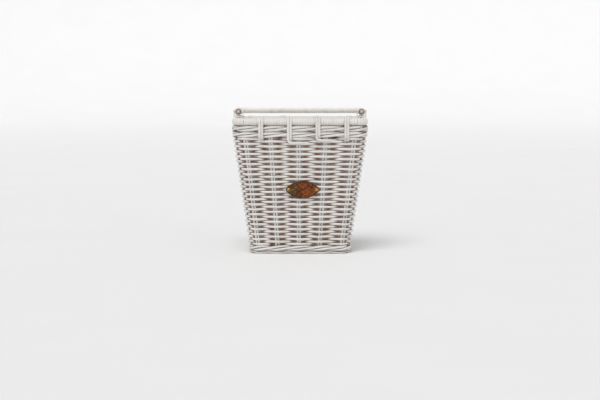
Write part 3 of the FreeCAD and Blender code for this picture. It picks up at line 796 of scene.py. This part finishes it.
def loop_strand(strands, side, x, thickness, low, tail=None, sink=0.0):
    """Up the inside, over the rim and down the outside to about the height low. There it tucks in behind
    the weave or, where tail is given, turns right, runs past a stake at that distance, and ends behind.
    Over the rim it is pressed into the winding by sink."""
    over = RIM_R + thickness / 2
    middle = RIM.y - RIM_R
    right = -side
    route = [(x, -over + 9.5 * MM, RIM_Z - 27 * MM), (x, -over + 1.2 * MM, RIM_Z - 16 * MM)]
    for degrees in range(180, -1, -20):
        a = math.radians(degrees)
        route.append((x, (over - sink) * math.cos(a), RIM_Z + (over - sink) * math.sin(a)))
    route += [(x, over, RIM_Z - LOOP_BELOW_RIM), (x, over - 0.1 * MM, RIM_Z - 26 * MM)]
    if tail is None:
        route += [
            (x, over - 0.2 * MM, low + 7.0 * MM),
            (x, over - 1.5 * MM, low + 2.5 * MM),
            (x, over - 5.0 * MM, low - 1.5 * MM),
            (x, over - 10.0 * MM, low - 5.0 * MM),
            (x, over - 15.0 * MM, low - 9.0 * MM),
            (x, over - 17.0 * MM, low - 15.0 * MM),
        ]
    else:
        route += [
            (x, over, low + 9 * MM),
            (x + right * 1.4 * MM, over + 0.1 * MM, low + 4 * MM),
            (x + right * 5.0 * MM, over, low + 0.8 * MM),
            (x + right * 12 * MM, over - 0.7 * MM, low - 0.4 * MM),
            (x + right * (tail - 4 * MM), over - 2.2 * MM, low - 0.8 * MM),
            (x + right * (tail + 8 * MM), over - 5.0 * MM, low - 0.8 * MM),
            (x + right * (tail + 20 * MM), over - 10.0 * MM, low - 0.6 * MM),
            (x + right * (tail + 32 * MM), over - 15.0 * MM, low - 0.4 * MM),
            (x + right * (tail + 40 * MM), over - 17.0 * MM, low - 0.4 * MM),
        ]
    flat = smooth_path(route, LOOP_STEP)
    path = np.stack([flat[:, 0], side * (middle + flat[:, 1]), flat[:, 2]], axis=1)
    rim_line = np.stack([path[:, 0], np.full(len(path), side * middle), np.full(len(path), RIM_Z)], axis=1)
    outward = path - rim_line
    outward[path[:, 2] < RIM_Z] *= (1, 1, 0)
    outward[:, 0] = 0
    below = path[:, 2] < RIM_Z - LOOP_BELOW_RIM
    outside = flat[:, 1] > -RIM_R / 2
    outward[below & outside] = (0, side, 0)
    outward = unit(outward)
    n = len(path)
    thick = 1 + wobble(n, strands.rng, 0.02, 1, 8)
    strands.add(path, outward, thickness / 2 * thick, LOOP_STRAND_W / 2 * thick, closed=False, power=2.6)


def make_loops(material):
    """The front pairs, of which some turn right at the foot of one strand, and the plain back pairs."""
    half_w, _, corner = outline_at(SHOULDER.z)
    stakes = np.array(FRONT_STAKES) * (half_w - corner)
    front = Strands(41)
    for x, low, turns in LOOPS_FRONT:
        left, right = x - LOOP_STRAND_W / 2, x + LOOP_STRAND_W / 2
        tail = float(min(stakes[stakes > x + 8 * MM])) - left if turns else None
        loop_strand(front, -1, left, LOOP_STRAND_T, low, tail)
        loop_strand(front, -1, right, LOOP_STRAND_T, low + (LOOP_STRAND_W if turns else 0.0))
    front.make("loops_front", material, "wicker", "rim_loops_front")
    back = Strands(42)
    for x in LOOPS_BACK:
        for half in (-1, 1):
            place_x = x + half * LOOP_STRAND_W / 2
            loop_strand(back, 1, place_x, LOOP_BACK_T, SHOULDER.z, sink=LOOP_BACK_SINK)
    back.make("loops_back", material, "wicker", "rim_loops_back")


# ---- lathe-turned handle ends ----------------------------------------------------------------------

def make_sockets(material):
    """Ball-ended sockets with a turned lip, a groove round the plug and two rings on the barrel; painted
    shade darkens the groove and the lip.
    """
    for side in ("left", "right"):
        node = "handle_socket_" + side
        low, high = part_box(node)
        radius = (high.z - low.z) / 2
        centre = (low + high) / 2
        length = high.y
        nose = low.y
        profile = [
            (0.0, nose + 2.6 * MM), (4.75 * MM, nose + 2.6 * MM), (6.2 * MM, nose + 2.7 * MM),
            (6.6 * MM, nose + 2.4 * MM), (6.75 * MM, nose + 1.5 * MM), (6.95 * MM, nose + 0.9 * MM),
            (7.4 * MM, nose + 0.75 * MM),
        ]
        for degrees in range(-44, 1, 4):
            a = math.radians(degrees)
            profile.append((radius * math.cos(a), radius * math.sin(a)))
        for share in SOCKET_GROOVES:
            groove = share * length
            profile += [(radius, groove - 1.1 * MM), (radius - 0.15 * MM, groove - 0.7 * MM),
                        (radius - 0.8 * MM, groove - 0.2 * MM), (radius - 0.8 * MM, groove + 0.2 * MM),
                        (radius - 0.15 * MM, groove + 0.7 * MM), (radius, groove + 1.1 * MM)]
        profile += [(radius, length - 1.2 * MM), (radius - 0.3 * MM, length - 0.4 * MM),
                    (radius - 1.2 * MM, length), (0.0, length)]
        sides = SOCKET_SIDES
        points = []
        for r, y in profile:
            for k in range(sides):
                a = 2 * math.pi * k / sides
                points.append((centre.x + r * math.cos(a), y, centre.z + r * math.sin(a)))
        # Painted shade over the groove and the lip, out to the radius given above, on the front only
        ring_shade = [np.interp(r, (SOCKET_SHADE_R, SOCKET_SHADE_R + 0.7 * MM), (1, 0)) * (y < 0) for r, y in profile]
        mesh = smooth_mesh("socket_" + side, points, ring_faces(len(profile), sides))
        give_values(mesh, "ring_shade", np.repeat(ring_shade, sides))
        mesh.validate()
        place("socket_" + side, mesh, material, (node,), "handle")


# ---- badge -----------------------------------------------------------------------------------------

def badge_outline(inset, count, half_w):
    """The pointed oval moved in by inset: two wide arcs joined by a small round at each tip."""
    rise = BADGE_HALF_H
    tip_x = half_w - BADGE_TIP_R
    wide_r = (tip_x ** 2 + rise ** 2 - BADGE_TIP_R ** 2) / (2 * (rise - BADGE_TIP_R))
    drop = wide_r - rise
    reach = math.hypot(tip_x, drop)
    join = math.atan2(drop, tip_x)
    points = []
    for k in range(count):
        share = k / count * 4
        quarter = int(share)
        t = share - quarter
        t = t if quarter % 2 == 0 else 1 - t
        if t < BADGE_TIP_SHARE:
            a = join * t / BADGE_TIP_SHARE
            r = BADGE_TIP_R - inset
            x, z = tip_x + r * math.cos(a), r * math.sin(a)
        else:
            a = join + (math.pi / 2 - join) * (t - BADGE_TIP_SHARE) / (1 - BADGE_TIP_SHARE)
            r = wide_r - inset
            x, z = r * math.cos(a), -drop + r * math.sin(a)
        x = x if quarter in (0, 3) else -x
        z = z if quarter in (0, 1) else -z
        points.append((x, z))
    return np.array(points)


def make_badge():
    """The badge: rings at its rim, each with its inset and height in mm and how dark it is, and then the
    slightly domed field inside them."""
    low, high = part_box("badge")
    half_w = (high.x - low.x) / 2
    lean = math.atan((SHOULDER.y - FOOT.y) / (SHOULDER.z - FOOT.z))
    z = (low.z + high.z) / 2 + math.sin(lean) * BADGE_T / 2
    centre = Vector(((low.x + high.x) / 2, -float(outline_at(z)[1]), z))
    outward = Vector((0, -math.cos(lean), -math.sin(lean)))
    up = Vector((0, -math.sin(lean), math.cos(lean)))
    count = BADGE_SIDES
    top = BADGE_T / MM
    rings = [
        (0.0, 0.1, 1.0), (0.0, 0.5, 1.0), (0.0, top - 0.8, 1.0), (0.2, top - 0.3, 0.9),
        (0.6, top - 0.05, 0.5), (1.2, top, 0.2), (2.0, top, 0.0),
        (2.4, top - 0.15, 0.5), (2.8, top - 0.6, 0.9), (3.2, top - 0.6, 0.9),
        (3.6, top - 0.15, 0.5), (4.0, top - 0.05, 0.0), (4.8, top - 0.1, 0.0),
    ]
    flats, heights, edges, fields = [], [], [], []
    for inset, height, edge in rings:
        flats.append(badge_outline(inset * MM, count, half_w))
        heights.append(height * MM)
        edges.append(edge)
        fields.append(0.0)
    inner, field_height = flats[-1], heights[-1]
    for k in range(1, BADGE_FIELD_STEPS):
        share = 1 - k / BADGE_FIELD_STEPS
        flats.append(inner * share)
        heights.append(field_height + BADGE_CROWN * (1 - share ** 2))
        edges.append(0.0)
        fields.append(min(1.0, k / 3))
    points, badge, edge_values, field_values = [], [], [], []
    for flat, height, edge, field in zip(flats, heights, edges, fields):
        for x, rise in flat:
            points.append(centre + Vector((x, 0, 0)) + up * rise + outward * height)
            badge.append((x, rise, height))
            edge_values.append(edge)
            near_rivet = math.hypot(abs(x) - (half_w - BADGE_RIVET_INSET), rise) < BADGE_RIVET_PATCH_R
            field_values.append(0.0 if near_rivet else field)
    faces = ring_faces(len(flats), count)
    faces.append([(len(flats) - 1) * count + k for k in range(count)])
    faces.append(list(reversed(range(count))))
    mesh = smooth_mesh("badge_leather", points, faces)
    give_values(mesh, "badge", badge)
    give_values(mesh, "edge", edge_values)
    give_values(mesh, "field", field_values)
    material = leather("tooled_leather", half_w)
    place("badge_leather", mesh, material, ("badge",), "basket")


# ---- the CAD nodes that stay -------------------------------------------------------------------------

def dress_cad():
    """Gives every CAD node that stays in sight its own finish."""
    level = straight_rods("wicker_level", (60, 1100, 1100))
    white = coated("white_powder_coat", WHITE, WHITE_WORN, 0.38, 0.05 * MM)
    black = coated("black_powder_coat", srgb(34, 34, 36), srgb(78, 77, 76), 0.45, 0.06 * MM)
    zinc = metal("zinc_plate", srgb(206, 207, 208), srgb(150, 150, 148), 0.3, (90, 1600, 1600))
    hoop = coated("hoop_paint", srgb(190, 184, 176), srgb(120, 92, 72), 0.6, 0.08 * MM)
    brass = metal("aged_brass", srgb(206, 164, 104), srgb(142, 104, 62), 0.42, (1500, 300, 1500))
    dull_vinyl = vinyl("dark_vinyl", srgb(38, 38, 39), srgb(58, 57, 56))
    clear_vinyl = vinyl("milky_vinyl", srgb(214, 212, 206), srgb(196, 192, 184))
    sawn = end_grain("rattan_end")
    finishes = {
        "base_sticks": level, "base_hoop": hoop, "rim_core": hoop, "handle_core": hoop,
        "handle_plugs": sawn, "handle_stops": clear_vinyl,
        "pivot_bracket_right": white, "pivot_bracket_left": white,
        "pivot_pin_right": zinc, "pivot_pin_left": zinc,
        "bracket_rivets": zinc, "bracket_washers": zinc,
        "badge_rivets": brass, "badge_burrs": brass,
        "hook_bolts": zinc, "hook_nuts": zinc,
    }
    for side in ("left", "right"):
        finishes["hook_" + side] = zinc
        finishes["hook_sleeve_" + side] = dull_vinyl
        finishes["hook_clamp_plate_" + side] = black
        finishes["hook_backing_plate_" + side] = black
    for node, material in finishes.items():
        for material_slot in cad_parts[node].material_slots:
            material_slot.material = material


# ---- light, floor and camera -------------------------------------------------------------------------

def make_bowl():
    """The floor and backdrop in one, which no pose moves."""
    shader = Shader("studio_floor", 0.85, specular=0.1)
    place_in = shader.add("TexCoord").outputs["Object"]
    cloud = shader.noise(place_in, 3.0, 2.0)
    shade = shader.mixed(cloud, srgb(246, 246, 246), srgb(250, 250, 250))
    material = shader.finish(shade)
    sides, steps = BOWL_SIDES, BOWL_STEPS
    points, faces = [(0.0, 0.0, 0.0)], []
    for i in range(steps + 1):
        a = math.pi / 2 * i / steps
        reach = BOWL_FLAT_R + BOWL_CURVE_R * math.sin(a)
        height = BOWL_CURVE_R * (1 - math.cos(a))
        for k in range(sides):
            turn = 2 * math.pi * k / sides
            points.append((reach * math.cos(turn), reach * math.sin(turn), height))
    for k in range(sides):
        faces.append((0, 1 + k, 1 + (k + 1) % sides))
    for i in range(steps):
        for k in range(sides):
            near, after = 1 + i * sides, (k + 1) % sides
            faces.append((near + k, near + sides + k, near + sides + after, near + after))
    mesh = smooth_mesh("studio_floor", points, faces)
    mesh.materials.append(material)
    floor = bpy.data.objects.new("studio_floor", mesh)
    floor.location.z = -BOWL_BELOW
    bpy.context.scene.collection.objects.link(floor)


def make_light():
    """An even white sky, and the suns."""
    world = bpy.data.worlds.new("studio")
    world.use_nodes = True
    sky = world.node_tree.nodes["Background"]
    sky.inputs["Color"].default_value = (1.0, 1.0, 1.0, 1.0)
    sky.inputs["Strength"].default_value = SKY_STRENGTH
    bpy.context.scene.world = world

    for name, spot, spread, strength in SUNS:
        data = bpy.data.lights.new(name, "SUN")
        data.angle = math.radians(spread)
        data.energy = strength
        lamp = bpy.data.objects.new(name, data)
        lamp.location = spot
        lamp.rotation_euler = Vector(spot).to_track_quat("Z", "Y").to_euler()
        bpy.context.scene.collection.objects.link(lamp)


def make_camera():
    data = bpy.data.cameras.new("camera")
    data.sensor_width = 36.0
    data.lens = CAMERA_LENS
    camera = bpy.data.objects.new("camera", data)
    camera.location = CAMERA_PLACE
    camera.rotation_euler = (math.radians(90 - CAMERA_DOWN), 0.0, 0.0)
    bpy.context.scene.collection.objects.link(camera)
    bpy.context.scene.camera = camera


def main():
    dress_cad()
    # Each wicker paint turns brown, partly unpainted rattan and partly painted shade, near the wall's middle
    # (its first number) and where strands touch (seam_from, seam_share)
    smooth_paint = wicker("painted_winding", NO_BARE_SHADE, seam_from=0.85, seam_share=0.25)
    make_weave(wicker("painted_weave", 2.9 * MM, seam_from=0.8, seam_share=0.95))
    # Wider seams of painted shade on the wales, for the brown line under the rim and the dark line under the
    # foot wale
    wale_paint = wicker("painted_wale", 3.4 * MM, seam_from=0.6, seam_share=1.0)
    foot_paint = wicker("painted_foot", 3.4 * MM, seam_from=0.45, seam_share=1.0)
    make_wales(wale_paint, foot_paint)
    make_border(wicker("painted_border", 3.4 * MM, seam_from=0.8, seam_share=0.8))
    # The stakes' paint is a lit copy, painted light that brightens them in the weave's gaps
    make_stakes(wicker("painted_stake", NO_BARE_SHADE, seam_from=0.9, seam_share=0.2, paint=PAINT_LIT))
    make_reeds(smooth_paint)
    make_rim(smooth_paint)
    # The handle's paint is a lit copy, painted light that brightens its winding
    make_handle(wicker("painted_handle", NO_BARE_SHADE, seam_from=0.9, seam_share=0.2, paint=PAINT_LIT))
    make_loops(smooth_paint)
    # The sockets' coat carries painted shade round the plugs, in the groove and on the lip
    make_sockets(coated("worn_and_shaded_powder_coat", WHITE, WHITE_WORN, 0.38, 0.05 * MM, ring_shade=SOCKET_SHADE))
    make_badge()
    make_bowl()
    make_light()
    make_camera()
    bpy.context.scene.view_settings.view_transform = "Standard"


main()
